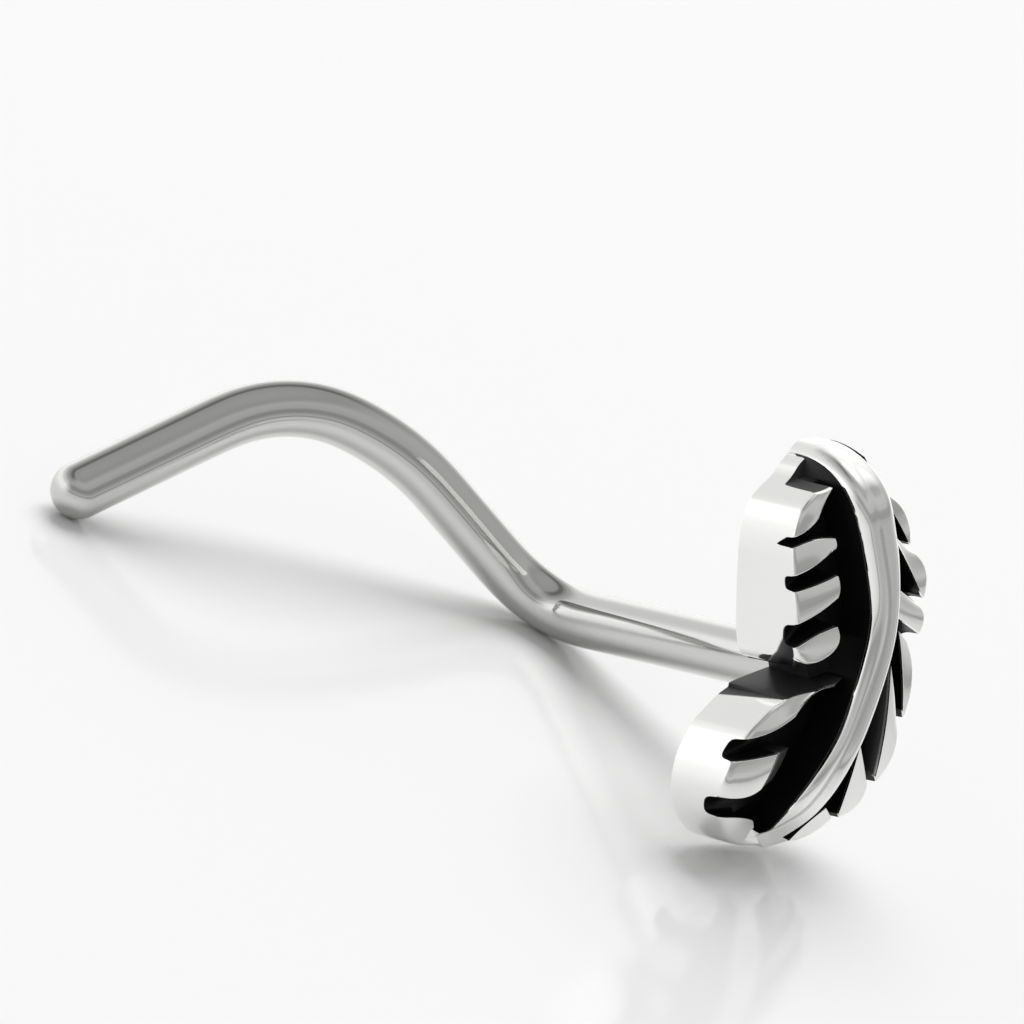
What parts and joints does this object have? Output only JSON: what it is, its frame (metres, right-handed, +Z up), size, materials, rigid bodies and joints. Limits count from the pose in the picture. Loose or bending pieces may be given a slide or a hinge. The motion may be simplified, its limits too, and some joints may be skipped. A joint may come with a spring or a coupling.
{
  "type": "nose screw",
  "caption": "Nose screw with a cast feather head, split on one side, on a round wire post that bends into a curved hook, which holds it in a pierced nostril.",
  "frame": {"origin": "middle of the bottom of the part's box, on the surface that it lies on", "axes": "+Z up from the surface, +X along the longest extent, from the wire's hook towards the feather head"},
  "size_m": [0.0098, 0.0082, 0.0054],
  "materials": {
    "silver": "polished sterling silver, blackened in the recesses of the feather"
  },
  "bodies": {
    "root": {"nose_screw": "silver"}
  },
  "joints": []
}
